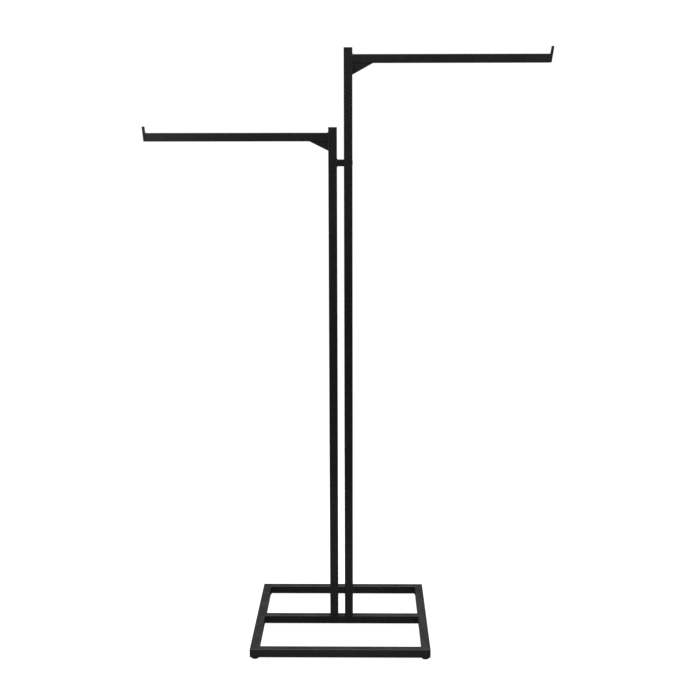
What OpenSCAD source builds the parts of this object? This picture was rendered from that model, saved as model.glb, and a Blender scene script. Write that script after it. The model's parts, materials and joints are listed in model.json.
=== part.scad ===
// Two-way clothing rack: two upright posts of different height on a square base,
// each with one straight hanger arm that points the opposite way to the other.
// Origin: on the floor under the middle of the base. +Z is up, +X is the side of the taller arm.

/* [Base] */
// Width of the square base, left to right
base_w = 533.4; // [400:0.1:700]
// Depth of the base, front to back
base_d = 533.4; // [400:0.1:700]
// Side of the square tube of the base and the posts
tube = 25.4; // [22:0.1:38]
// Wall thickness of all the tubes
wall = 1.5; // [1.2:0.1:2]
// Outside corner radius of the square tube
tube_r = 2; // [1.6:0.1:3]

/* [Posts] */
// Height of the taller post's top above the floor
tall_height = 1774; // [1400:1:2000]
// Height of the shorter post's top above the floor
short_height = 1546; // [1100:1:1750]
// Clear gap between the two posts
post_gap = 20.6; // [16:0.1:30]
// Side of the square spacer tube between the posts
spacer_side = 20.4; // [18:0.1:22]
// Depth of the spacer's centre below the shorter post's top
spacer_drop = 104; // [80:1:300]

/* [Arms] */
// Reach of the right arm, from the post's face to the foot of its lip
right_reach = 579.5; // [300:0.1:650]
// Reach of the left arm, from the post's face to the foot of its lip
left_reach = 545.5; // [300:0.1:650]
// Depth of the right arm's top below the taller post's top
right_drop = 19; // [10:0.5:60]
// Depth of the left arm's top below the shorter post's top
left_drop = 16; // [10:0.5:60]
// Height of the arm tube
arm_h = 25.4; // [20:0.1:32]
// Width of the arm tube
arm_w = 12.7; // [10:0.1:20]
// Length of the right gusset along its arm
right_gusset_len = 60.5; // [40:0.5:90]
// Length of the left gusset along its arm
left_gusset_len = 55.5; // [40:0.5:90]
// Height of the right gusset below its arm
right_gusset_h = 33; // [20:0.5:60]
// Height of the left gusset below its arm
left_gusset_h = 27.5; // [20:0.5:60]
// Thickness of the gusset plates
gusset_t = 10; // [3:0.5:10]
// Length of the lip at the end of the right arm
right_lip_len = 47; // [35:1:70]
// Length of the lip at the end of the left arm
left_lip_len = 44; // [35:1:70]
// Outward tilt of the right lip, in degrees
right_lip_tilt = 8.5; // [0:0.5:20]
// Outward tilt of the left lip, in degrees
left_lip_tilt = 5.5; // [0:0.5:20]
// Thickness of the lips
lip_t = 7; // [4:0.5:8]

/* [Feet] */
// Gap between the floor and the base with the feet screwed right in
foot_h = 6.5; // [6:0.1:10]
// Diameter of a foot pad
pad_d = 24; // [20:0.5:25]
// Distance of each foot's centre from the outer faces of the base
foot_inset = 15; // [12.7:0.1:17]
// Length of a foot's threaded stud above its pad
stud_len = 20; // [16:1:21]

/* [Hidden] */

$fn = 64;
coat = [0.13, 0.13, 0.135];
nylon = [0.08, 0.08, 0.08];
zinc = [0.72, 0.73, 0.75];
over = 1;                                // overshoot of every cutting solid

base_top = foot_h + tube;
bore = tube - 2 * wall;                  // clear width inside the square tube
post_x = (post_gap + tube) / 2;
spacer_z = short_height - spacer_drop;
right_arm_top = tall_height - right_drop;
left_arm_top = short_height - left_drop;
arm_r = 1.5;

cap_flange = 2;
cap_depth = 14;
cap_wall = 1.6;
cap_clear = 0.5;                         // between a cap's body and the tube
cap_fins = 3;
fin_h = 1.2;

plug_h = 12;                             // threaded plug in the foot of a post
thread_clear = 0.05;                     // radial gap that stands for the threads
bolt_r = 4 - thread_clear;               // M8
bolt_hole_r = 4.5;
bolt_len = 16;
bolt_head_af = 13;
bolt_head_h = 5.3;
washer_r = 8;
washer_t = 1.6;
access_r = 9;                            // hole under each bolt for a socket wrench

screw_r = 3 - thread_clear;              // M6
screw_hole_r = 3.3;
screw_len = 16;
screw_head_r = 5.25;
screw_head_h = 3.3;
screw_key_af = 4;
screw_washer_r = 6;
screw_washer_t = 1.6;
screw_access_r = 6.5;
spacer_plug_len = 12;

insert_r = 5.5;                          // M8 rivet nut in the underside of each corner
insert_flange_r = 7;
insert_flange_t = 0.8;
insert_len = 13;
stud_r = 4 - thread_clear;               // M8
stud_flange_r = 6.5;
stud_flange_t = 1.6;
stud_key_af = 5;
stud_key_depth = 5;
pad_top = foot_h - insert_flange_t;
pad_edge_r = 2.4;
pad_floor_t = 1.4;                       // nylon under the stud's flange
pad_key_hole_r = 3.2;
swivel_gap = 0.1;                        // running gap between a stud and its pad

// ---- profiles ----

// A rectangle with true round corners, centred.
module round_rect(w, h, r) {
    square([w - 2 * r, h], center = true);
    square([w, h - 2 * r], center = true);
    for (x = [-1, 1], y = [-1, 1])
        translate([x * (w / 2 - r), y * (h / 2 - r)]) circle(r);
}

// The cross-section of a tube with round corners, centred.
module tube_profile(w, h, r) {
    difference() {
        round_rect(w, h, r);
        square([w - 2 * wall, h - 2 * wall], center = true);
    }
}

// A tube that runs along +X from the origin.
module tube_x(length, w, h, r) {
    rotate([90, 0, 90]) linear_extrude(length) tube_profile(w, h, r);
}

// A hexagonal prism by its width across the flats.
module hex(af, h) {
    cylinder(h = h, r = af / 2 / cos(30), $fn = 6);
}

module ring(outer, inner, h) {
    difference() {
        cylinder(h = h, r = outer);
        translate([0, 0, -over]) cylinder(h = h + 2 * over, r = inner);
    }
}

// ---- base ----

// The places of the feet: front left, front right, rear left, rear right.
function foot_at(side, end) =
    [side * (base_w / 2 - foot_inset), end * (base_d / 2 - foot_inset), 0];

module at_every_foot() {
    for (side = [-1, 1], end = [-1, 1])
        translate(foot_at(side, end)) children();
}

// A rail of the square frame along X, with its outer face on y = 0, mitred ends and the
// frame's corners ground round.
module mitred_rail(length) {
    intersection() {
        translate([-length / 2, tube / 2, foot_h + tube / 2]) tube_x(length, tube, tube, tube_r);
        linear_extrude(base_top + over)
            polygon([[-length / 2, 0], [length / 2, 0],
                     [length / 2 - tube, tube], [tube - length / 2, tube]]);
        translate([0, tube, 0]) linear_extrude(base_top + over)
            round_rect(length, 2 * tube, tube_r);
    }
}

module drilled_for_feet() {
    difference() {
        children();
        at_every_foot()
            translate([0, 0, foot_h - over]) cylinder(h = wall + 2 * over, r = insert_r);
    }
}

module base_front_rail() {
    color(coat) drilled_for_feet()
        translate([0, -base_d / 2, 0]) mitred_rail(base_w);
}

module base_rear_rail() {
    color(coat) drilled_for_feet()
        rotate(180) translate([0, -base_d / 2, 0]) mitred_rail(base_w);
}

module base_left_rail() {
    color(coat) drilled_for_feet()
        rotate(-90) translate([0, -base_w / 2, 0]) mitred_rail(base_d);
}

module base_right_rail() {
    color(coat) drilled_for_feet()
        rotate(90) translate([0, -base_w / 2, 0]) mitred_rail(base_d);
}

// The rail under the posts: a bolt hole in its top and a wrench hole in its underside for each.
module base_centre_rail() {
    span = base_w - 2 * tube;
    color(coat) difference() {
        translate([-span / 2, 0, foot_h + tube / 2]) tube_x(span, tube, tube, tube_r);
        for (side = [-1, 1]) translate([side * post_x, 0, 0]) {
            translate([0, 0, base_top - wall - over])
                cylinder(h = wall + 2 * over, r = bolt_hole_r);
            translate([0, 0, foot_h - over])
                cylinder(h = wall + 2 * over, r = access_r);
        }
    }
}

// ---- posts ----

module post_tube(top) {
    translate([0, 0, base_top])
        linear_extrude(top - cap_flange - base_top) tube_profile(tube, tube, tube_r);
}

// The taller post has a screw hole towards the spacer and an access hole opposite.
module tall_post() {
    color(coat) difference() {
        translate([post_x, 0, 0]) post_tube(tall_height);
        translate([post_x, 0, spacer_z]) {
            rotate([0, -90, 0]) cylinder(h = tube / 2 + over, r = screw_hole_r);
            rotate([0, 90, 0]) cylinder(h = tube / 2 + over, r = screw_access_r);
        }
    }
}

module short_post() {
    color(coat) translate([-post_x, 0, 0]) post_tube(short_height);
}

// A push-in cap: a flange on the tube's end and a finned hollow body inside it.
module post_cap(top) {
    body = bore - 2 * cap_clear;
    translate([0, 0, top - cap_flange])
        linear_extrude(cap_flange) round_rect(tube, tube, tube_r);
    translate([0, 0, top - cap_flange - cap_depth]) {
        linear_extrude(cap_depth) difference() {
            square(body, center = true);
            square(body - 2 * cap_wall, center = true);
        }
        for (i = [0 : cap_fins - 1])
            translate([0, 0, i * cap_depth / cap_fins + fin_h]) linear_extrude(fin_h) difference() {
                square(bore, center = true);
                square(body - 2 * cap_wall, center = true);
            }
    }
}

module tall_post_cap() {
    color(nylon) translate([post_x, 0, 0]) post_cap(tall_height);
}

module short_post_cap() {
    color(nylon) translate([-post_x, 0, 0]) post_cap(short_height);
}

// A steel block welded into the foot of a post, tapped for the post bolt.
module threaded_plug() {
    translate([0, 0, base_top]) difference() {
        linear_extrude(plug_h) square(bore, center = true);
        translate([0, 0, -over]) cylinder(h = plug_h + 2 * over, r = bolt_r + thread_clear);
    }
}

module tall_post_threaded_plug() {
    color(zinc) translate([post_x, 0, 0]) threaded_plug();
}

module short_post_threaded_plug() {
    color(zinc) translate([-post_x, 0, 0]) threaded_plug();
}

// Both bolts go up through the centre rail's top wall into the plugs.
module post_bolts() {
    head_top = base_top - wall - washer_t;
    color(zinc) for (side = [-1, 1]) translate([side * post_x, 0, head_top]) {
        cylinder(h = bolt_len, r = bolt_r);
        translate([0, 0, -bolt_head_h]) hex(bolt_head_af, bolt_head_h);
    }
}

module post_bolt_washers() {
    color(zinc) for (side = [-1, 1])
        translate([side * post_x, 0, base_top - wall - washer_t])
            ring(washer_r, bolt_hole_r, washer_t);
}

// ---- spacer between the posts ----

module post_spacer() {
    color(coat) translate([-post_gap / 2, 0, spacer_z])
        tube_x(post_gap, spacer_side, spacer_side, tube_r);
}

module spacer_threaded_plug() {
    side = spacer_side - 2 * wall;
    color(zinc) translate([post_gap / 2 - spacer_plug_len, 0, spacer_z]) rotate([0, 90, 0])
        difference() {
            linear_extrude(spacer_plug_len) square(side, center = true);
            translate([0, 0, -over])
                cylinder(h = spacer_plug_len + 2 * over, r = screw_r + thread_clear);
        }
}

// The screw's head bears on the inside of the taller post's wall.
module spacer_screw() {
    head_x = post_gap / 2 + wall + screw_washer_t;
    color(zinc) translate([head_x, 0, spacer_z]) rotate([0, 90, 0]) difference() {
        union() {
            translate([0, 0, -screw_len]) cylinder(h = screw_len, r = screw_r);
            cylinder(h = screw_head_h, r = screw_head_r);
        }
        translate([0, 0, screw_head_h / 2]) hex(screw_key_af, screw_head_h);
    }
}

module spacer_screw_washer() {
    color(zinc) translate([post_gap / 2 + wall, 0, spacer_z]) rotate([0, 90, 0])
        ring(screw_washer_r, screw_hole_r, screw_washer_t);
}

// A flush plug that closes the access hole in the taller post.
module screw_hole_plug() {
    skirt = 5;
    flange_t = 0.8;
    color(nylon) translate([post_x + tube / 2, 0, spacer_z]) rotate([0, 90, 0]) {
        cylinder(h = flange_t, r = screw_access_r + 1.5);
        translate([0, 0, -skirt]) ring(screw_access_r, screw_access_r - 1.2, skirt);
    }
}

// ---- arms: drawn pointing to +X from x = 0 at the post's face, underside on z = 0 ----

// The plane of the lip's inner face is the end of the arm tube.
module beyond_lip(reach, tilt) {
    translate([reach, 0, 0]) rotate([0, tilt, 0])
        translate([-lip_t, -tube, -tube]) cube([2 * tube, 2 * tube, 4 * tube]);
}

module arm_tube(reach, tilt) {
    difference() {
        translate([0, 0, arm_h / 2]) tube_x(reach + tube, arm_w, arm_h, arm_r);
        beyond_lip(reach, tilt);
    }
}

module gusset(length, height) {
    rotate([90, 0, 0]) linear_extrude(gusset_t, center = true)
        polygon([[0, 0], [length, 0], [0, -height]]);
}

module lip(reach, length, tilt) {
    translate([reach, 0, 0]) rotate([0, tilt, 0])
        translate([-lip_t / 2, 0, 0]) linear_extrude(length) round_rect(lip_t, arm_w, 1);
}

module on_tall_post() {
    translate([post_x + tube / 2, 0, right_arm_top - arm_h]) children();
}

module on_short_post() {
    mirror([1, 0, 0]) translate([post_x + tube / 2, 0, left_arm_top - arm_h]) children();
}

module right_arm() {
    color(coat) on_tall_post() arm_tube(right_reach, right_lip_tilt);
}

module left_arm() {
    color(coat) on_short_post() arm_tube(left_reach, left_lip_tilt);
}

module right_gusset() {
    color(coat) on_tall_post() gusset(right_gusset_len, right_gusset_h);
}

module left_gusset() {
    color(coat) on_short_post() gusset(left_gusset_len, left_gusset_h);
}

module right_lip() {
    color(coat) on_tall_post() lip(right_reach, right_lip_len, right_lip_tilt);
}

module left_lip() {
    color(coat) on_short_post() lip(left_reach, left_lip_len, left_lip_tilt);
}

// ---- levelling feet ----

// A flanged rivet nut in each corner of the base.
module foot_inserts() {
    color(zinc) at_every_foot() {
        translate([0, 0, foot_h]) ring(insert_r, stud_r + thread_clear, insert_len);
        translate([0, 0, foot_h - insert_flange_t])
            ring(insert_flange_r, stud_r + thread_clear, insert_flange_t);
    }
}

// A threaded stud whose flange turns in the pad, with a key socket in its lower end.
module foot_stud() {
    difference() {
        translate([0, 0, pad_floor_t + swivel_gap]) {
            cylinder(h = pad_top - pad_floor_t - swivel_gap + stud_len, r = stud_r);
            cylinder(h = stud_flange_t, r = stud_flange_r);
        }
        translate([0, 0, pad_floor_t]) hex(stud_key_af, stud_key_depth);
    }
}

// A domed nylon pad, hollow round the stud's flange.
module foot_pad() {
    pocket_r = stud_flange_r + swivel_gap;
    pocket_top = pad_floor_t + stud_flange_t + 2 * swivel_gap;
    difference() {
        rotate_extrude() {
            square([pad_d / 2 - pad_edge_r, pad_top]);
            square([pad_d / 2 - 1.1, pad_top - pad_edge_r]);
            translate([pad_d / 2 - pad_edge_r, pad_top - pad_edge_r]) circle(pad_edge_r);
        }
        translate([0, 0, pad_floor_t]) cylinder(h = pocket_top - pad_floor_t, r = pocket_r);
        translate([0, 0, pad_floor_t]) cylinder(h = pad_top, r = stud_r + swivel_gap);
        translate([0, 0, -over]) cylinder(h = pad_floor_t + 2 * over, r = pad_key_hole_r);
    }
}

module front_left_foot_stud() {
    color(zinc) translate(foot_at(-1, -1)) foot_stud();
}

module front_right_foot_stud() {
    color(zinc) translate(foot_at(1, -1)) foot_stud();
}

module rear_left_foot_stud() {
    color(zinc) translate(foot_at(-1, 1)) foot_stud();
}

module rear_right_foot_stud() {
    color(zinc) translate(foot_at(1, 1)) foot_stud();
}

module front_left_foot_pad() {
    color(nylon) translate(foot_at(-1, -1)) foot_pad();
}

module front_right_foot_pad() {
    color(nylon) translate(foot_at(1, -1)) foot_pad();
}

module rear_left_foot_pad() {
    color(nylon) translate(foot_at(-1, 1)) foot_pad();
}

module rear_right_foot_pad() {
    color(nylon) translate(foot_at(1, 1)) foot_pad();
}

base_front_rail();
base_rear_rail();
base_left_rail();
base_right_rail();
base_centre_rail();
tall_post();
short_post();
tall_post_cap();
short_post_cap();
tall_post_threaded_plug();
short_post_threaded_plug();
post_bolts();
post_bolt_washers();
post_spacer();
spacer_threaded_plug();
spacer_screw();
spacer_screw_washer();
screw_hole_plug();
right_arm();
left_arm();
right_gusset();
left_gusset();
right_lip();
left_lip();
foot_inserts();
front_left_foot_stud();
front_right_foot_stud();
rear_left_foot_stud();
rear_right_foot_stud();
front_left_foot_pad();
front_right_foot_pad();
rear_left_foot_pad();
rear_right_foot_pad();
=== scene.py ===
import json
import math
import random

import bmesh
import bpy
from mathutils import Matrix, Vector


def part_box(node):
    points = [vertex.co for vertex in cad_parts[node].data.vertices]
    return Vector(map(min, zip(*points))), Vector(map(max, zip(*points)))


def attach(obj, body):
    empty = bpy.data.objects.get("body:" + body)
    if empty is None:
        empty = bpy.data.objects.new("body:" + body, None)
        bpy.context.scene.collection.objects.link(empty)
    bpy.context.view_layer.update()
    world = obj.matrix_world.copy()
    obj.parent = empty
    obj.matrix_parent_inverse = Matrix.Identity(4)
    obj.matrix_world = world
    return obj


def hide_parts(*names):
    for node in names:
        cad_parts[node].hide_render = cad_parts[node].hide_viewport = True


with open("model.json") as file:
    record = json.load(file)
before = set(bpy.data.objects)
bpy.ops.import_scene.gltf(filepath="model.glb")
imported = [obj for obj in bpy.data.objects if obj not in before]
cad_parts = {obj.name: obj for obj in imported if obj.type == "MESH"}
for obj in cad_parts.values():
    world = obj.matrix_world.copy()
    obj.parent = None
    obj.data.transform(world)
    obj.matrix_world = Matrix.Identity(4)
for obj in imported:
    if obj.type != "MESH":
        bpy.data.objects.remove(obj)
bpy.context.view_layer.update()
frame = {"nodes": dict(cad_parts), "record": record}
nodes = frame["nodes"]
MM = 0.001
X, Y, Z = Vector((1, 0, 0)), Vector((0, 1, 0)), Vector((0, 0, 1))


# ---- camera ----

CAMERA_AT = Vector((67.9, -3576.8, 1502.6)) * MM
CAMERA_PITCH = 9.873           # degrees below the horizon
CAMERA_YAW = 0.646             # degrees to the left
CAMERA_ROLL = -0.085           # degrees anticlockwise
CAMERA_LENS = 61.45            # mm
SENSOR = 36                    # mm


def make_camera():
    data = bpy.data.cameras.new("camera")
    data.sensor_width = SENSOR
    data.lens = CAMERA_LENS
    data.clip_start = 0.05
    data.clip_end = 60
    camera = bpy.data.objects.new("camera", data)
    camera.location = CAMERA_AT
    camera.rotation_euler = (Matrix.Rotation(math.radians(CAMERA_YAW), 3, "Z")
                             @ Matrix.Rotation(math.radians(90 - CAMERA_PITCH), 3, "X")
                             @ Matrix.Rotation(math.radians(CAMERA_ROLL), 3, "Z")).to_euler()
    bpy.context.scene.collection.objects.link(camera)
    bpy.context.scene.camera = camera


# ---- node helpers ----

class Shader:
    """A material's node tree, with short ways to add what the finishes below need."""

    def __init__(self, name):
        self.material = bpy.data.materials.new(name)
        self.material.use_nodes = True
        self.tree = self.material.node_tree
        self.bsdf = self.tree.nodes["Principled BSDF"]
        coords = self.tree.nodes.new("ShaderNodeTexCoord")
        self.position = coords.outputs["Object"]
        self.normal = coords.outputs["Normal"]

    def add(self, kind, **inputs):
        """A new node with some of its inputs set to values or linked to outputs."""
        node = self.tree.nodes.new(kind)
        for key, value in inputs.items():
            self.put(node.inputs[key.replace("_", " ")], value)
        return node

    def put(self, socket, value):
        if isinstance(value, bpy.types.NodeSocket):
            self.tree.links.new(value, socket)
        else:
            socket.default_value = value

    def math(self, operation, a, b=0.0):
        node = self.tree.nodes.new("ShaderNodeMath")
        node.operation = operation
        self.put(node.inputs[0], a)
        self.put(node.inputs[1], b)
        return node.outputs[0]

    def noise(self, scale, detail=2.0, roughness=0.5, stretch=(1, 1, 1)):
        """Noise from 0 to 1, with so many features to the metre."""
        where = self.add("ShaderNodeMapping", Vector=self.position, Scale=stretch)
        node = self.add("ShaderNodeTexNoise", Vector=where.outputs[0], Scale=scale,
                        Detail=detail, Roughness=roughness)
        return node.outputs["Fac"]

    def ramp(self, value, low, high, to_low=0.0, to_high=1.0):
        node = self.add("ShaderNodeMapRange", Value=value)
        node.interpolation_type = "SMOOTHSTEP"
        for key, number in (("From Min", low), ("From Max", high), ("To Min", to_low), ("To Max", to_high)):
            node.inputs[key].default_value = number
        return node.outputs[0]

    def mix(self, factor, a, b):
        """The colour a, going over to b."""
        node = self.tree.nodes.new("ShaderNodeMix")
        node.data_type = "RGBA"
        self.put(node.inputs["Factor"], factor)
        for key, colour in (("A", a), ("B", b)):
            socket = [s for s in node.inputs if s.name == key and s.type == "RGBA"][0]
            self.put(socket, colour if isinstance(colour, bpy.types.NodeSocket) else (*colour, 1))
        return [s for s in node.outputs if s.type == "RGBA"][0]

    def bump(self, height, depth, strength, under=None):
        """A bump that raises the surface by depth metres where height is 1."""
        node = self.add("ShaderNodeBump", Height=height, Distance=depth, Strength=strength)
        if under is not None:
            self.put(node.inputs["Normal"], under)
        return node.outputs[0]

    def rounding(self):
        """0 on faces square to the axes, and up to 1 on the round corners between them."""
        parts = self.add("ShaderNodeSeparateXYZ", Vector=self.normal)
        x, y, z = (self.math("ABSOLUTE", s) for s in parts.outputs)
        flat = self.math("MAXIMUM", self.math("MAXIMUM", x, y), z)
        return self.ramp(self.math("SUBTRACT", 1.0, flat), 0.02, 0.2)

    def facing_up(self):
        parts = self.add("ShaderNodeSeparateXYZ", Vector=self.normal)
        return self.ramp(parts.outputs["Z"], 0.6, 0.98)


# ---- finishes ----

def powder_coat(name, rubbed=False):
    """Matte black powder coat: a fine pebbled skin, a little smoother where it's handled."""
    s = Shader(name)
    cloud = s.noise(14, 3)
    pebble = s.noise(1100, 2, 0.6)
    peel = s.noise(330, 2)
    edge = s.math("MULTIPLY", s.rounding(), s.ramp(s.noise(45, 4, 0.6), 0.35, 0.6, 0.35, 1.0))
    # Dust on faces that point up, lighter and rougher; its tint is also a painted top light, strong enough
    # to stand in for light from above.
    dust_and_painted_top_light = s.math("MULTIPLY", s.facing_up(), s.ramp(s.noise(26, 5, 0.65), 0.38, 0.72))

    colour = s.mix(s.ramp(cloud, 0.3, 0.7), (0.0062, 0.0062, 0.0065), (0.0094, 0.0093, 0.0093))
    colour = s.mix(s.ramp(pebble, 0.45, 0.7, 0.0, 0.35), colour, (0.016, 0.016, 0.0162))
    colour = s.mix(s.math("MULTIPLY", edge, 0.5), colour, (0.022, 0.022, 0.0225))
    # Painted top light: faces that point up are tinted lighter, partly as dust and partly in place of the
    # overhead light.
    colour = s.mix(s.math("MULTIPLY", dust_and_painted_top_light, 0.33), colour, (0.045, 0.043, 0.040))
    rough = s.ramp(s.noise(70, 3), 0.3, 0.7, 0.43, 0.53)
    rough = s.math("ADD", rough, s.math("MULTIPLY", dust_and_painted_top_light, 0.06))
    rough = s.math("SUBTRACT", rough, s.math("MULTIPLY", edge, 0.07))
    if rubbed:
        # Hooks slide along the top of the arms and leave fine marks across them.
        marks = s.ramp(s.noise(1, 5, 0.7, stretch=(620, 14, 14)), 0.52, 0.66)
        worn = s.math("MULTIPLY", marks, s.facing_up())
        colour = s.mix(s.math("MULTIPLY", worn, 0.45), colour, (0.03, 0.03, 0.031))
        rough = s.math("SUBTRACT", rough, s.math("MULTIPLY", worn, 0.1))
    s.put(s.bsdf.inputs["Base Color"], colour)
    s.put(s.bsdf.inputs["Roughness"], rough)
    s.bsdf.inputs["Specular IOR Level"].default_value = 0.3
    under = s.bump(peel, 0.00022, 0.6)
    s.put(s.bsdf.inputs["Normal"], s.bump(pebble, 0.00012, 0.7, under))
    return s.material


def moulded_nylon():
    """Black nylon with the fine spark-eroded grain of a mould."""
    s = Shader("moulded_nylon")
    grain = s.noise(2200, 1)
    flow = s.noise(90, 3)
    colour = s.mix(s.ramp(flow, 0.35, 0.7), (0.0075, 0.0075, 0.0078), (0.0125, 0.0122, 0.012))
    colour = s.mix(s.math("MULTIPLY", s.rounding(), 0.35), colour, (0.02, 0.02, 0.02))
    s.put(s.bsdf.inputs["Base Color"], colour)
    s.put(s.bsdf.inputs["Roughness"], s.ramp(flow, 0.3, 0.7, 0.5, 0.62))
    s.bsdf.inputs["Specular IOR Level"].default_value = 0.35
    s.put(s.bsdf.inputs["Normal"], s.bump(grain, 0.00006, 0.8))
    return s.material


def zinc_plate():
    """Bright zinc over machined steel, with faint turning lines and a cloudy passivation."""
    s = Shader("zinc_plate")
    cloud = s.noise(160, 4, 0.6)
    lines = s.noise(1, 2, 0.5, stretch=(300, 300, 5200))
    colour = s.mix(s.ramp(cloud, 0.3, 0.7), (0.46, 0.47, 0.48), (0.60, 0.60, 0.58))
    s.put(s.bsdf.inputs["Base Color"], colour)
    s.bsdf.inputs["Metallic"].default_value = 1.0
    s.put(s.bsdf.inputs["Roughness"], s.ramp(cloud, 0.3, 0.7, 0.26, 0.42))
    s.put(s.bsdf.inputs["Normal"], s.bump(lines, 0.00003, 0.5))
    return s.material


COAT = powder_coat("powder_coat")
COAT_RUBBED = powder_coat("powder_coat_rubbed", rubbed=True)
NYLON = moulded_nylon()
ZINC = zinc_plate()


def finish_cad_nodes():
    """The carried-over CAD nodes take the finish of their slot in the record."""
    by_slot = {"black_powder_coat": COAT, "black_nylon": NYLON, "zinc_steel": ZINC}
    for sub in frame["record"]["subparts"]:
        name = sub["node"]
        material = COAT_RUBBED if name.endswith("_arm") else by_slot[sub["material_slot"]]
        mesh = nodes[name].data
        mesh.materials.clear()
        mesh.materials.append(material)


# ---- mesh helpers ----

CRISP = math.radians(35)       # edges sharper than this aren't smoothed


def piece(name, shape, material, body="root", replaces=()):
    """A new mesh from (verts, faces) that rides on a body and may replace CAD nodes."""
    mesh = bpy.data.meshes.new(name)
    verts, faces = shape
    mesh.from_pydata([tuple(v) for v in verts], [], faces)
    work = bmesh.new()
    work.from_mesh(mesh)
    bmesh.ops.remove_doubles(work, verts=work.verts, dist=0.001 * MM)
    bmesh.ops.recalc_face_normals(work, faces=work.faces)
    work.to_mesh(mesh)
    work.free()
    mesh.materials.append(material)
    mesh.shade_smooth()
    mesh.set_sharp_from_angle(angle=CRISP)
    made = bpy.data.objects.new(name, mesh)
    bpy.context.scene.collection.objects.link(made)
    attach(made, body)
    if replaces:
        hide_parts(*replaces)


def loft(rings, closed=False, caps=(True, True)):
    """Faces between rings of equally many points. The first and last ring get an end face each, or are
    joined to each other."""
    count = len(rings[0])
    verts = [p for ring in rings for p in ring]
    faces = []
    for i in range(len(rings) if closed else len(rings) - 1):
        a, b = i * count, (i + 1) % len(rings) * count
        for j in range(count):
            k = (j + 1) % count
            faces.append((a + j, a + k, b + k, b + j))
    if not closed and caps[0]:
        faces.append(tuple(reversed(range(count))))
    if not closed and caps[1]:
        faces.append(tuple(range(len(verts) - count, len(verts))))
    return verts, faces


def join(*shapes):
    """Several (verts, faces) as one."""
    verts, faces = [], []
    for some_verts, some_faces in shapes:
        base = len(verts)
        verts += some_verts
        faces += [tuple(base + i for i in face) for face in some_faces]
    return verts, faces


def moved(shape, matrix):
    verts, faces = shape
    return [matrix @ v for v in verts], faces


def bevelled(shape, width):
    """The shape with every edge rounded."""
    work = bmesh.new()
    corners = [work.verts.new(v) for v in shape[0]]
    for face in shape[1]:
        work.faces.new([corners[i] for i in face])
    bmesh.ops.bevel(work, geom=work.verts[:] + work.edges[:], offset=width, segments=3,
                    profile=0.5, affect="EDGES", clamp_overlap=True)
    work.verts.index_update()
    verts = [v.co.copy() for v in work.verts]
    faces = [tuple(v.index for v in face.verts) for face in work.faces]
    work.free()
    return verts, faces


def prism(outline, start, end):
    """A flat outline of (x, z) points, carried from one y to the other."""
    return loft([[Vector((x, y, z)) for x, z in outline] for y in (start, end)])


def arc(u, v, r, start, end, steps=6):
    """Points on an arc round (u, v), from one angle to another in degrees."""
    angles = (math.radians(start + (end - start) * i / steps) for i in range(steps + 1))
    return [(u + r * math.cos(a), v + r * math.sin(a)) for a in angles]


def square_ring(half, r, z):
    """A square with round corners at height z, centred on the axis."""
    c = half - r
    return [Vector((x, y, z)) for u, v, turn in ((c, c, 0), (-c, c, 90), (-c, -c, 180), (c, -c, 270))
            for x, y in arc(u, v, r, turn, turn + 90, 5)]


ROUND = 36                     # points in every turned ring
TURN = [2 * math.pi * i / ROUND for i in range(ROUND)]    # and their angles


def polar(r, a, z):
    return Vector((r * math.cos(a), r * math.sin(a), z))


def round_ring(r, z):
    return [polar(r, a, z) for a in TURN]


def hex_ring(flats, z, most=1.0):
    """A hexagon by the width across its flats, its corners cut off at the radius most."""
    return [polar(min(flats / 2 / math.cos(a % (math.pi / 3) - math.pi / 6), most), a, z) for a in TURN]


def turned(profile):
    """Turns a run of (radius, height) points, in millimetres, round the z axis."""
    return loft([round_ring(r * MM, z * MM) for r, z in profile])


def turned_ring(profile):
    """Turns a closed outline of (radius, height) points, in millimetres, round the z axis."""
    return loft([[polar(r, a, z) * MM for r, z in profile] for a in TURN], closed=True)


def thread(major, minor, pitch, low, high, caps):
    """A right-hand screw thread, in millimetres, that runs out into the core at both ends."""
    crest_and_root = (0.0, 0.125, 0.4375, 0.6875)    # where the profile's corners are, in pitches
    corners = len(crest_and_root)
    turns = math.ceil((high - low) / pitch) + 2
    rings = []
    for m in range(turns * corners):
        place = m // corners - 1 + crest_and_root[m % corners]
        full = major if m % corners < 2 else minor
        ring = []
        for i, a in enumerate(TURN):
            z = min(max(low + pitch * (place + i / ROUND), low), high)
            fade = min(1.0, (z - low) / pitch, (high - z) / pitch)
            r = min(full, minor + (major - minor) * fade)
            ring.append(polar(r, a, z) * MM)
        rings.append(ring)
    verts = [p for ring in rings for p in ring]
    last = len(rings) - 1
    faces = []
    for m in range(last):
        for i in range(ROUND):
            here, above = m * ROUND + i, (m + 1) * ROUND + i
            if i < ROUND - 1:
                faces.append((here, here + 1, above + 1, above))
            else:
                # The end of a turn meets the start of the next one, a pitch higher.
                after, after_above = min(m + corners, last) * ROUND, min(m + corners + 1, last) * ROUND
                if after != after_above:
                    faces.append((here, after, after_above, above))
                else:
                    faces.append((here, after, above))
    if caps[0]:
        faces.append(tuple(reversed(range(ROUND))))
    if caps[1]:
        faces.append(tuple(last * ROUND + i for i in range(ROUND)))
    return verts, faces


def middle(name):
    low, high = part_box(name)
    return (low + high) / 2


def upright(name):
    """Carries a shape from the z axis to the upright axis through the middle of a CAD node."""
    return Matrix.Translation(middle(name) * Vector((1, 1, 0)))


TUBE_ROUND = 2.0 * MM          # corner radius of the base's, posts' and spacer's tube
ARM_ROUND = 1.5 * MM           # and of the arms'


# ---- weld beads ----

RIPPLE = 2.4 * MM              # from one scallop of a bead to the next


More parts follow.
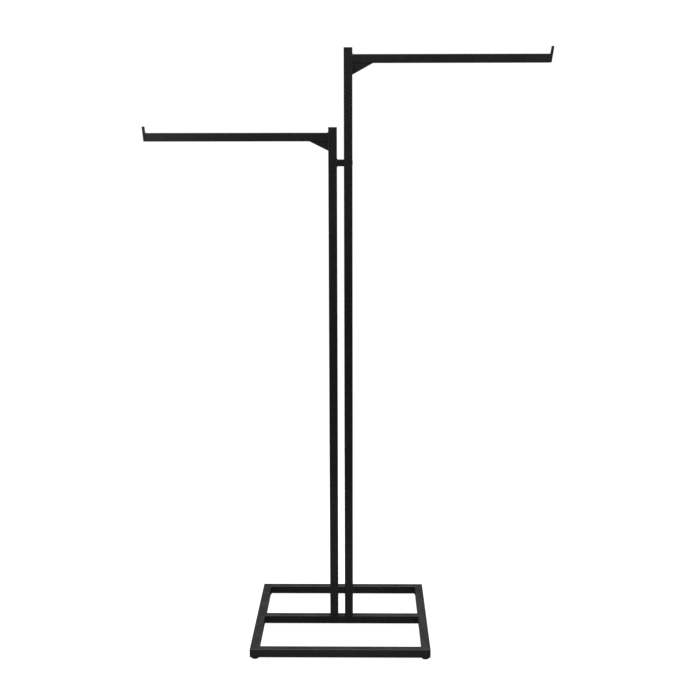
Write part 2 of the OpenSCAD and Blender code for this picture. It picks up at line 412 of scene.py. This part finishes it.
def weld(name, start, end, face_a, face_b, leg):
    """A fillet bead in the corner between two faces, from start to end, that tapers at both ends.
    face_a and face_b point along the two faces, away from the corner."""
    along = end - start
    steps_per_ripple = 6
    step = RIPPLE / steps_per_ripple
    count = max(steps_per_ripple, round(along.length / step))
    chance = random.Random(name)
    wobble = [chance.uniform(-1, 1) for _ in range(count // steps_per_ripple + 3)]
    rings = []
    for i in range(count + 1):
        t = i / count
        s = t * along.length
        scallop = abs(math.sin(math.pi * s / RIPPLE))
        k = s / (steps_per_ripple * step)
        drift = wobble[int(k)] + (wobble[int(k) + 1] - wobble[int(k)]) * (k - int(k))
        # The ripples take a tenth of the leg, the drift a twentieth, and each end tapers to 0.4 of it.
        to_end = min(s, along.length - s) / leg
        taper = math.sqrt(min(1.0, 0.16 + max(to_end, 0.0) * 0.84))
        size = leg * (0.90 + 0.10 * scallop + 0.05 * drift) * taper
        corner = start + along * t
        sink = -0.35 * size                  # how far the bead's root goes into both parts
        ring = [corner + face_a * sink + face_b * sink, corner + face_a * size + face_b * sink]
        # From the toe on one face to the toe on the other, nearly flat with a low crown.
        for j in range(7):
            u = j / 6
            bulge = 0.13 * math.sin(math.pi * u) * (1.0 + 0.10 * math.sin(math.pi * u))
            ring.append(corner + face_a * size * (1 - u + bulge) + face_b * size * (u + bulge))
        ring.append(corner + face_a * sink + face_b * size)
        rings.append(ring)
    return loft(rings)


def seam(name, start, end, across, out, width=3.2 * MM, height=0.28 * MM):
    """A butt weld that was ground nearly flush: a low, slightly uneven crown along a seam."""
    along = end - start
    count = max(8, round(along.length / (0.8 * MM)))
    chance = random.Random(name)
    phase = [chance.uniform(0, 2 * math.pi) for _ in range(3)]
    root = -0.4 * MM                         # how far it goes into both parts
    rings = []
    for i in range(count + 1):
        s = along.length * i / count
        # Its width and crown wander a little, over some millimetres.
        wave = (math.sin(s / (3.1 * MM) + phase[0]) + math.sin(s / (1.7 * MM) + phase[1])) / 2
        half = width / 2 * (1 + 0.08 * wave)
        crown = height * (1 + 0.22 * math.sin(s / (2.3 * MM) + phase[2]))
        centre = start + along * (i / count)
        ring = [centre - across * half + out * root]
        for j in range(9):
            u = j / 4 - 1
            ring.append(centre + across * (u * half) + out * (crown * (1 - u * u) - 0.01 * MM))
        ring.append(centre + across * half + out * root)
        rings.append(ring)
    return loft(rings)


# ---- caps, lips and gussets ----

def post_cap(name):
    """A push-in nylon cap: a soft-edged flange over the tube's end, and a hollow body with three fins."""
    low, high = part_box(name)
    half, top = (high.x - low.x) / 2 / MM, high.z / MM
    flange, edge, corner = 2.0, 0.9, 2.0     # the flange's thickness, soft edge and corner radius
    body, fin, bore = 10.7, 11.2, 9.1        # half widths
    under, depth, fins = top - flange, 14.0, 3
    foot = under - depth
    # Half width, corner radius and height of each ring, from the roof of the hollow round to the top,
    # whose middle is sunk a little.
    steps = [(bore, 0.4, under - 0.2), (bore, 0.4, foot + 0.3), (bore + 0.3, 0.4, foot),
             (body - 0.4, 0.4, foot), (body, 0.4, foot + 0.4)]
    for i in range(fins):
        z = foot + 1.2 + i * depth / fins
        steps += [(body, 0.4, z), (fin, 0.6, z + 0.7), (fin, 0.6, z + 1.0), (body, 0.4, z + 1.2)]
    steps += [(body, 0.4, under), (half - 0.15, corner - 0.1, under), (half, corner, under + 0.15)]
    steps += [(u, corner - half + u, v) for u, v in arc(half - edge, top - edge, edge, 0, 90, 5)]
    steps += [(half - 3.2, 0.6, top), (half - 3.6, 0.5, top - 0.12)]
    shape = loft([square_ring(w * MM, r * MM, z * MM) for w, r, z in steps])
    piece(name + "_moulding", moved(shape, upright(name)), NYLON, replaces=[name])


LIP_THICK = 7.0 * MM
LIP_TILT = {"right": math.radians(8.5), "left": math.radians(5.5)}    # outward, from upright


def outward(side):
    """The way that an arm points."""
    return X if side == "right" else -X


def lip_length(side):
    low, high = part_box(side + "_lip")
    return (high.z - low.z - LIP_THICK * math.sin(LIP_TILT[side])) / math.cos(LIP_TILT[side])


def lip_foot(side):
    """The middle of the lower edge of a lip's outer face."""
    low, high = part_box(side + "_lip")
    below_tip = Vector((high.x if side == "right" else low.x, 0, low.z))
    return below_tip - outward(side) * lip_length(side) * math.sin(LIP_TILT[side])


def lip(side):
    """The upturned stop at the end of an arm: a flat bar with eased edges."""
    low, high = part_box(side + "_lip")
    length = lip_length(side)
    bar = prism([(0, 0), (0, length), (-LIP_THICK, length), (-LIP_THICK, 0)], low.y, high.y)
    place = Matrix.Translation(lip_foot(side)) @ Matrix.Diagonal((outward(side).x, 1, 1, 1))
    shape = moved(bevelled(bar, 0.9 * MM), place @ Matrix.Rotation(LIP_TILT[side], 4, "Y"))
    piece(side + "_lip_bar", shape, COAT, replaces=[side + "_lip"])


def lip_welds(side):
    """The fillet on top of the arm at its lip, and a ground seam down each side of the joint."""
    name = side + "_lip"
    arm_low, arm_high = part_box(side + "_arm")
    sine, cosine = math.sin(LIP_TILT[side]), math.cos(LIP_TILT[side])
    up = outward(side) * sine + Z * cosine
    heel = lip_foot(side) - outward(side) * LIP_THICK / cosine
    rise = (arm_high.z - arm_low.z) / cosine
    knee = heel + up * rise
    half = arm_high.y
    reach = Y * (half - 2 * MM)
    parts = [weld(name + "_top", knee - reach, knee + reach, -outward(side), up, 2.4 * MM)]
    for sign in (-1, 1):
        edge = heel + Y * sign * half
        parts.append(seam(f"{name}_side{sign}", edge + up * ARM_ROUND, edge + up * (rise - ARM_ROUND),
                          X, Y * sign, 2.4 * MM, 0.2 * MM))
    piece(name + "_welds", join(*parts), COAT)


def gusset(side):
    """The triangular plate under an arm, with its cut edges eased."""
    name = side + "_gusset"
    low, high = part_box(name)
    wall, tip = (low.x, high.x) if side == "right" else (high.x, low.x)
    plate = prism([(wall, high.z), (tip, high.z), (wall, low.z)], low.y, high.y)
    piece(name + "_plate", bevelled(plate, 0.6 * MM), COAT, replaces=[name])


# ---- feet ----

M8_CREST, M8_CORE, M8_PITCH = 3.95, 3.25, 1.25    # radii and pitch in millimetres


def foot_pad(name, body):
    """A domed nylon foot, hollow round the stud's flange, with a hole for the key underneath."""
    low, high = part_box(name)
    r = (high.x - low.x) / 2 / MM
    outline = [(3.5, 0.0)] + arc(r - 2.1, 1.0, 1.0, 270, 360)
    outline += [(r - 1.02, 1.35), (r - 0.65, 2.0)] + arc(r - 2.4, 3.3, 2.4, -12, 84, 10)
    outline += [(r - 3.1, 5.7), (4.5, 5.7), (4.1, 5.3), (4.1, 3.25)]
    outline += [(6.6, 3.25), (6.6, 1.4), (3.2, 1.4), (3.2, 0.3)]
    piece(name + "_moulding", moved(turned_ring(outline), upright(name)), NYLON, body, replaces=[name])


def foot_stud(name, body):
    """An M8 stud with a flange that turns in the pad, and a hexagon socket in its lower end."""
    low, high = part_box(name)
    bottom, top = low.z / MM, high.z / MM
    start = bottom + 1.9
    socket = [hex_ring(flats * MM, (bottom + z) * MM) for flats, z in ((4.2, 4.9), (5.0, 4.4), (5.0, 0.35))]
    flange = [round_ring(r * MM, (bottom + z) * MM) for r, z in
              ((3.15, 0.0), (6.15, 0.0), (6.5, 0.35), (6.5, 1.25), (6.15, 1.6), (3.7, 1.6))]
    lower = loft(socket + flange + [round_ring(M8_CORE * MM, start * MM)], caps=(True, False))
    rod = thread(M8_CREST, M8_CORE, M8_PITCH, start, top, caps=(False, True))
    piece(name + "_threaded", moved(join(lower, rod), upright(name)), ZINC, body, replaces=[name])


def foot_inserts(studs):
    """Rivet nuts set in the underside of the base: a thin flange, and a crimped collar over the sheet."""
    low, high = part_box("foot_inserts")
    z, top = low.z / MM, high.z / MM
    flange = [(4.0, z + 0.25), (4.25, z), (6.7, z), (7.0, z + 0.25), (7.0, z + 0.6), (6.8, z + 0.8)]
    collar = [(5.5, z + 0.8), (5.5, z + 2.35), (6.3, z + 2.5), (6.85, z + 2.95), (6.8, z + 3.5),
              (6.0, z + 4.0), (5.5, z + 4.4)]
    sleeve = [(5.5, top - 0.5), (5.1, top), (4.3, top), (4.0, top - 0.3)]
    nut = turned_ring(flange + collar + sleeve)
    piece("foot_insert_nuts", join(*(moved(nut, upright(stud)) for stud in studs)), ZINC,
          replaces=["foot_inserts"])


# ---- fasteners ----

def hex_bolt(length):
    """A fully threaded M8 bolt that points up, with its head's bearing face on z = 0."""
    flats, head, start = 13.0, 5.3, 0.4
    # Height over the head's lower face, and the radius that the hexagon's corners are cut to there.
    chamfer = ((0.0, 6.0), (0.25, 6.45), (0.5, 6.88), (0.75, 7.3), (1.0, 7.7))
    rings = [hex_ring(flats * MM, (rise - head) * MM, most * MM) for rise, most in chamfer]
    rings.append(hex_ring(flats * MM, -0.4 * MM))
    rings += [round_ring(r * MM, z * MM) for r, z in
              ((6.1, -0.4), (6.0, 0), (M8_CREST, 0), (M8_CORE, start))]
    rod = thread(M8_CREST, M8_CORE, M8_PITCH, start, length, caps=(False, True))
    return join(loft(rings, caps=(True, False)), rod)


def button_screw(length):
    """A fully threaded M6 button-head screw that points down, with a hexagon socket in its head."""
    crest, core, pitch, start = 2.95, 2.4, 1.0, -0.3
    button = ((core, start), (crest, 0), (5.0, 0), (5.25, 0.3), (5.2, 0.9), (4.85, 1.7), (4.2, 2.5),
              (3.4, 3.05), (2.9, 3.3), (2.55, 3.3))
    socket = ((4.0, 3.05), (4.0, 1.6), (3.2, 1.3))
    head = [round_ring(r * MM, z * MM) for r, z in button]
    head += [hex_ring(flats * MM, z * MM) for flats, z in socket]
    return join(thread(crest, core, pitch, -length, start, caps=(True, False)),
                loft(head, caps=(False, True)))


def washer(inner, outer, t):
    """A punched washer: one face's rim is drawn over, the other stays crisp."""
    return turned_ring([(inner + 0.15, 0), (outer - 0.1, 0), (outer, 0.12), (outer, t - 0.45),
                        (outer - 0.15, t - 0.15), (outer - 0.45, t), (inner + 0.4, t),
                        (inner + 0.12, t - 0.12), (inner, t - 0.4), (inner, 0.12)])


def post_fasteners():
    """The bolts and washers that hold the two posts down, inside the centre rail."""
    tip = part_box("post_bolts")[1].z
    low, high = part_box("post_bolt_washers")
    seats = [Matrix.Translation((middle(post).x, 0, low.z)) for post in ("tall_post", "short_post")]
    bolt = hex_bolt((tip - low.z) / MM)
    flat = washer(4.5, 8.0, (high.z - low.z) / MM)
    piece("post_hex_bolts", join(*(moved(bolt, seat) for seat in seats)), ZINC, replaces=["post_bolts"])
    piece("post_punched_washers", join(*(moved(flat, seat) for seat in seats)), ZINC,
          replaces=["post_bolt_washers"])


def along_spacer(shape, x):
    """Turns a shape from the z axis onto the spacer's own axis, with its z = 0 at x."""
    place = Matrix.Translation((x, 0, middle("post_spacer").z))
    return moved(shape, place @ Matrix.Rotation(math.radians(90), 4, "Y"))


def spacer_fasteners():
    """The screw and washer inside the taller post, and the plug that closes the hole they go in by."""
    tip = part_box("spacer_screw")[0].x
    low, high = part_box("spacer_screw_washer")
    screw = button_screw((high.x - tip) / MM)
    piece("spacer_button_screw", along_spacer(screw, high.x), ZINC, replaces=["spacer_screw"])
    flat = washer(3.3, 6.0, (high.x - low.x) / MM)
    piece("spacer_punched_washer", along_spacer(flat, low.x), ZINC, replaces=["spacer_screw_washer"])
    dome = 0.8
    plug = turned([(0.4, dome), (3.0, 0.77), (5.2, 0.68), (6.8, 0.5), (7.6, 0.32), (7.95, 0.12), (8.0, 0.0),
                   (6.5, 0.0), (6.5, -4.2), (6.1, -5.0), (5.3, -5.0), (5.3, -0.5), (0.4, -0.4)])
    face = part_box("screw_hole_plug")[1].x - dome * MM
    piece("screw_hole_plug_moulding", along_spacer(plug, face), NYLON, replaces=["screw_hole_plug"])


# ---- welds of the frame ----

def arm_welds(side):
    """The fillets where an arm and its gusset meet the post, and where the gusset meets the arm."""
    arm_low, arm_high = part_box(side + "_arm")
    gusset_low, gusset_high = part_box(side + "_gusset")
    out = outward(side)
    wall_x = arm_low.x if side == "right" else arm_high.x
    half, gusset_half = arm_high.y, gusset_high.y
    leg = 2.8 * MM
    top = Vector((wall_x, 0, arm_high.z))
    reach = Y * (half - ARM_ROUND)
    parts = [weld(side + "_top", top - reach, top + reach, out, Z, leg)]
    for sign in (-1, 1):
        face = Y * sign
        edge = Vector((wall_x, sign * half, 0))
        foot, head = edge + Z * (arm_low.z + ARM_ROUND), edge + Z * (arm_high.z - ARM_ROUND)
        parts.append(weld(f"{side}_side{sign}", foot, head, out, face, leg))
        edge = Vector((wall_x, sign * gusset_half, 0))
        foot, head = edge + Z * (gusset_low.z + 1.5 * MM), edge + Z * (gusset_high.z - 1.0 * MM)
        parts.append(weld(f"{side}_gusset_post{sign}", foot, head, out, face, leg))
        # This bead fills the hollow under the arm's round corner, out to the arm's side. It starts 2 mm
        # from the post and stops 5 mm short of the gusset's tip.
        length = gusset_high.x - gusset_low.x
        near = edge + Z * arm_low.z + out * 2 * MM
        far = near + out * (length - 7 * MM)
        to_side = face * (half - gusset_half) + Z * ARM_ROUND
        fill = 1.12 * to_side.length
        parts.append(weld(f"{side}_gusset_arm{sign}", near, far, to_side.normalized(), -Z, fill))
    piece(side + "_arm_welds", join(*parts), COAT)


def spacer_welds():
    """The spacer is welded all round to the short post."""
    low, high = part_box("post_spacer")
    leg = 2.4 * MM
    half = (high.z - low.z) / 2
    at = Vector((low.x, 0, (low.z + high.z) / 2))
    parts = []
    for sign in (-1, 1):
        for name, face, run in (("spacer_z", Z, Y), ("spacer_y", Y, Z)):
            edge, reach = at + face * sign * half, run * (half - TUBE_ROUND)
            parts.append(weld(f"{name}{sign}", edge - reach, edge + reach, X, face * sign, leg))
    piece("post_spacer_welds", join(*parts), COAT)


def mitre_welds(x_sign, y_sign):
    """At one corner of the base, ground seams over and under the mitre, and a fillet inside it."""
    low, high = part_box("base_front_rail")
    tube = high.y - low.y
    corner = Vector((x_sign * high.x, y_sign * -low.y, 0))
    inward = Vector((-x_sign, -y_sign, 0))
    across = Vector((x_sign, -y_sign, 0)).normalized()
    parts = []
    for z, out, on_top in ((high.z, Z, True), (low.z, -Z, False)):
        a = corner + inward * (TUBE_ROUND + 0.6 * MM) + Z * z    # clear of the round outer corner
        b = corner + inward * (tube - TUBE_ROUND) + Z * z
        parts.append(seam(f"mitre{x_sign}{y_sign}{on_top}", a, b, across, out))
    inner = corner + inward * tube
    a, b = inner + Z * (low.z + TUBE_ROUND), inner + Z * (high.z - TUBE_ROUND)
    parts.append(weld(f"inner{x_sign}{y_sign}", a, b, X * -x_sign, Y * -y_sign, 2.2 * MM))
    return parts


def centre_rail_welds(x_sign):
    """At one end of the centre rail, a fillet up each side, and ground seams on top and below."""
    low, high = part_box("base_centre_rail")
    end = X * (low.x if x_sign < 0 else high.x)
    parts = []
    for y_sign in (-1, 1):
        side = end + Y * y_sign * high.y
        a, b = side + Z * (low.z + TUBE_ROUND), side + Z * (high.z - TUBE_ROUND)
        parts.append(weld(f"centre{x_sign}{y_sign}", a, b, X * -x_sign, Y * y_sign, 2.6 * MM))
    for z, out in ((high.z, Z), (low.z, -Z)):
        a, b = end + Y * (low.y + TUBE_ROUND) + Z * z, end + Y * (high.y - TUBE_ROUND) + Z * z
        parts.append(seam(f"centre_seam{x_sign}{out.z}", a, b, X, out))
    return parts


def base_welds():
    parts = []
    for x_sign in (-1, 1):
        for y_sign in (-1, 1):
            parts += mitre_welds(x_sign, y_sign)
    for x_sign in (-1, 1):
        parts += centre_rail_welds(x_sign)
    piece("base_welds", join(*parts), COAT)


# ---- build ----

finish_cad_nodes()
make_camera()
CORNERS = [end + "_" + side for end in ("front", "rear") for side in ("left", "right")]
for corner in CORNERS:
    foot_pad(corner + "_foot_pad", corner + "_foot")
    foot_stud(corner + "_foot_stud", corner + "_stud")
foot_inserts([corner + "_foot_stud" for corner in CORNERS])
post_fasteners()
spacer_fasteners()
for name in ("tall_post_cap", "short_post_cap"):
    post_cap(name)
for side in ("right", "left"):
    lip(side)
    lip_welds(side)
    gusset(side)
    arm_welds(side)
spacer_welds()
base_welds()


# ---- floor, light, end ----

FLOOR_RADIUS = 2.6
FLOOR_SOLID = 1.3              # the floor is opaque this far out, then fades into the backdrop
FLOOR_SHADE = 0.2              # how much light the floor reflects
FLOOR_GLOW = 0.97              # radiance that the floor adds, for the camera alone
BACKDROP = 1.03                # radiance of the plain white backdrop
AMBIENT = 0.12                 # what the dim studio round the rack adds to the light

# Name, place, aimed at, width, height (all in metres) and watts. The wide one over the rack is the main
# light. "left" and "right" are for the arms' outer ends, "front" is for the front rail, and the rear pair
# lights the back only.
SOFTBOXES = (("top", (0, 0, 3.6), (0, 0, 0), 3.2, 3.2, 240),
             ("left", (-0.95, -0.75, 1.62), (-0.6, 0, 1.52), 0.5, 0.3, 2.1),
             ("right", (1.25, -0.9, 1.9), (0.5, 0, 1.7), 0.6, 0.4, 1.4),
             ("front", (0, -0.62, 0.02), (0, -0.27, 0.02), 0.9, 0.03, 0.3),
             ("rear_left", (-3.2, 1.3, 1.5), (0, 0, 1.0), 1.0, 1.8, 24),
             ("rear_right", (2.2, 2.3, 2.4), (0, 0, 1.1), 1.0, 1.4, 15))


def pale_floor():
    """A pale matte floor whose rim melts into the backdrop. Its glow is for the camera alone, so the rack
    is lit by a much dimmer floor than the white one that shows."""
    s = Shader("pale_floor")
    cloud = s.noise(1.6, 3)
    s.put(s.bsdf.inputs["Base Color"],
          s.mix(s.ramp(cloud, 0.3, 0.7), [FLOOR_SHADE] * 3, [FLOOR_SHADE + 0.03] * 3))
    s.put(s.bsdf.inputs["Roughness"], s.ramp(cloud, 0.3, 0.7, 0.7, 0.8))
    s.bsdf.inputs["Specular IOR Level"].default_value = 0.2
    s.bsdf.inputs["Emission Color"].default_value = (1, 1, 1, 1)
    rays = s.add("ShaderNodeLightPath")
    s.put(s.bsdf.inputs["Emission Strength"], s.math("MULTIPLY", rays.outputs["Is Camera Ray"], FLOOR_GLOW))
    distance = s.add("ShaderNodeVectorMath", Vector=s.position)
    distance.operation = "LENGTH"
    s.put(s.bsdf.inputs["Alpha"], s.ramp(distance.outputs["Value"], FLOOR_SOLID, FLOOR_RADIUS, 1.0, 0.0))
    return s.material


def make_floor():
    count = 96
    verts = [(FLOOR_RADIUS * math.cos(a), FLOOR_RADIUS * math.sin(a), 0)
             for a in (2 * math.pi * i / count for i in range(count))]
    mesh = bpy.data.meshes.new("floor")
    mesh.from_pydata(verts, [], [tuple(range(count))])
    mesh.materials.append(pale_floor())
    floor = bpy.data.objects.new("floor", mesh)
    bpy.context.scene.collection.objects.link(floor)


def softbox(name, at, target, width, height, watts):
    data = bpy.data.lights.new(name, "AREA")
    data.shape = "RECTANGLE"
    data.size, data.size_y = width, height
    data.energy = watts
    lamp = bpy.data.objects.new(name, data)
    lamp.location = at
    lamp.rotation_euler = (Vector(target) - Vector(at)).to_track_quat("-Z", "Y").to_euler()
    bpy.context.scene.collection.objects.link(lamp)


def make_world():
    """A white backdrop for the camera, and a dim even light for everything else."""
    world = bpy.data.worlds.new("studio")
    world.use_nodes = True
    tree = world.node_tree
    dim = tree.nodes["Background"]
    dim.inputs["Color"].default_value = (1, 1, 1, 1)
    dim.inputs["Strength"].default_value = AMBIENT
    white = tree.nodes.new("ShaderNodeBackground")
    white.inputs["Color"].default_value = (1, 1, 1, 1)
    white.inputs["Strength"].default_value = BACKDROP
    rays = tree.nodes.new("ShaderNodeLightPath")
    choice = tree.nodes.new("ShaderNodeMixShader")
    tree.links.new(rays.outputs["Is Camera Ray"], choice.inputs["Fac"])
    tree.links.new(dim.outputs[0], choice.inputs[1])
    tree.links.new(white.outputs[0], choice.inputs[2])
    tree.links.new(choice.outputs[0], tree.nodes["World Output"].inputs["Surface"])
    bpy.context.scene.world = world


make_floor()
make_world()
for box in SOFTBOXES:
    softbox(*box)
bpy.context.scene.view_settings.view_transform = "Standard"
